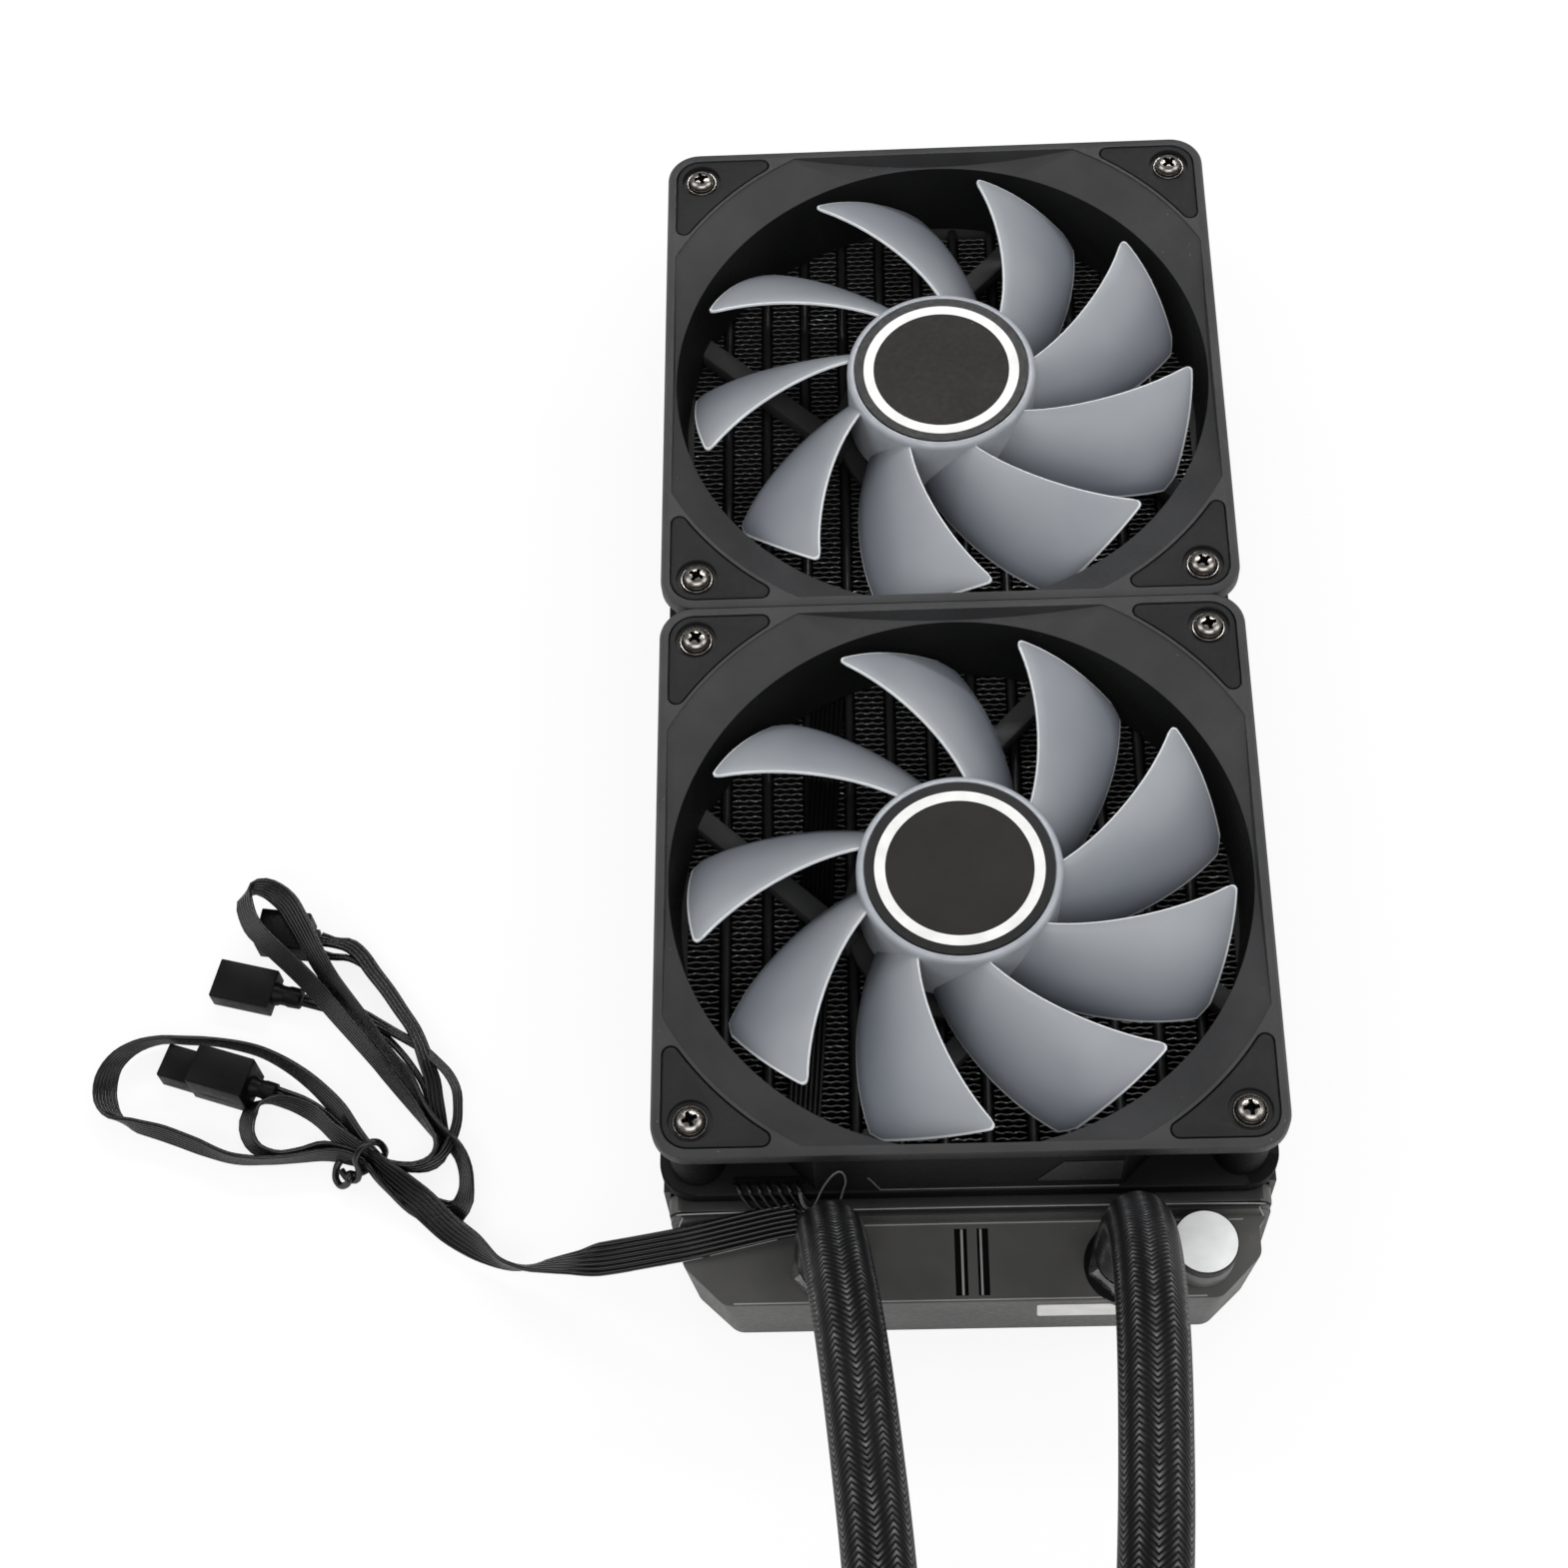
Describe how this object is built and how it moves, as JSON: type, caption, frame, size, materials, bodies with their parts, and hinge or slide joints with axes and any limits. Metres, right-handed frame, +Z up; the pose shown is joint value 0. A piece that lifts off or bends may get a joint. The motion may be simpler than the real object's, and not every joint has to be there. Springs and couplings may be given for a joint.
{
  "type": "all in one cpu liquid cooler",
  "caption": "Liquid cooler for a computer processor: flat radiator under framed axial fans, hoses to a round pump head with a copper plate, and a tied fan lead.",
  "frame": {"origin": "on the standing surface, below the middle of the cooler's box without its hoses and leads", "axes": "+Z up from the surface, +Y from the pump head towards the far end of the radiator, +X to the right"},
  "size_m": [0.2412, 0.648, 0.096],
  "materials": {
    "black_paint": "satin black paint",
    "fin_black": "satin black paint on thin aluminium fins",
    "frame_black": "fine textured black",
    "pad_rubber": "matt black rubber",
    "frosted_blade": "frosted translucent grey",
    "disc_black": "blank matt disc",
    "screw_steel": "dark nickel",
    "bright_steel": "bright steel",
    "ferrite": "sintered magnet",
    "winding": "enamelled copper wire",
    "bronze": "sintered bronze",
    "copper": "bare copper",
    "black_braid": "black braided sleeve",
    "lead_black": "black insulation"
  },
  "bodies": {
    "cooler": {"radiator_core": "fin_black", "right_side_rail": "black_paint", "left_side_rail": "black_paint", "near_end_tank": "black_paint", "far_end_tank": "black_paint", "fill_port_cap": "frame_black", "left_port_fitting": "bright_steel", "left_hose_ferrule": "frame_black", "left_hose": "black_braid", "right_port_fitting": "bright_steel", "right_hose_ferrule": "frame_black", "right_hose": "black_braid", "near_fan_frame": "frame_black", "near_fan_bearing": "bronze", "near_fan_stator": "winding", "near_fan_pad_back_right": "pad_rubber", "near_fan_pad_back_left": "pad_rubber", "near_fan_pad_front_left": "pad_rubber", "near_fan_pad_front_right": "pad_rubber", "near_fan_screw_back_right": "screw_steel", "near_fan_screw_back_left": "screw_steel", "near_fan_screw_front_left": "screw_steel", "near_fan_screw_front_right": "screw_steel", "far_fan_frame": "frame_black", "far_fan_bearing": "bronze", "far_fan_stator": "winding", "far_fan_pad_back_right": "pad_rubber", "far_fan_pad_back_left": "pad_rubber", "far_fan_pad_front_left": "pad_rubber", "far_fan_pad_front_right": "pad_rubber", "far_fan_screw_back_right": "screw_steel", "far_fan_screw_back_left": "screw_steel", "far_fan_screw_front_left": "screw_steel", "far_fan_screw_front_right": "screw_steel", "link_ribbon": "lead_black", "fan_lead": "lead_black", "power_lead": "lead_black", "light_lead": "lead_black", "tail_lead": "lead_black", "power_plug": "lead_black", "light_plug": "lead_black", "light_socket": "lead_black", "light_socket_cap": "lead_black", "lead_tie": "lead_black", "pump_housing": "frame_black", "cold_plate": "copper", "pump_cover": "frame_black", "pump_shaft": "bright_steel", "pump_stator": "winding", "pump_left_fitting": "bright_steel", "pump_right_fitting": "bright_steel"},
    "near_rotor": {"near_fan_rotor": "frosted_blade", "near_fan_hub_disc": "disc_black", "near_fan_magnet_ring": "ferrite", "near_fan_shaft": "bright_steel"},
    "far_rotor": {"far_fan_rotor": "frosted_blade", "far_fan_hub_disc": "disc_black", "far_fan_magnet_ring": "ferrite", "far_fan_shaft": "bright_steel"},
    "pump_rotor": {"pump_impeller": "frame_black"}
  },
  "joints": [
    {"name": "near_fan_spin", "type": "hinge", "parent": "cooler", "child": "near_rotor", "pos_m": [0, 0.13075, 0.04], "axis": [0, 0, 1], "continuous": true},
    {"name": "far_fan_spin", "type": "hinge", "parent": "cooler", "child": "far_rotor", "pos_m": [0, 0.25075, 0.04], "axis": [0, 0, 1], "continuous": true},
    {"name": "pump_impeller_spin", "type": "hinge", "parent": "cooler", "child": "pump_rotor", "pos_m": [0, -0.29125, 0.01], "axis": [0, 0, 1], "continuous": true}
  ]
}
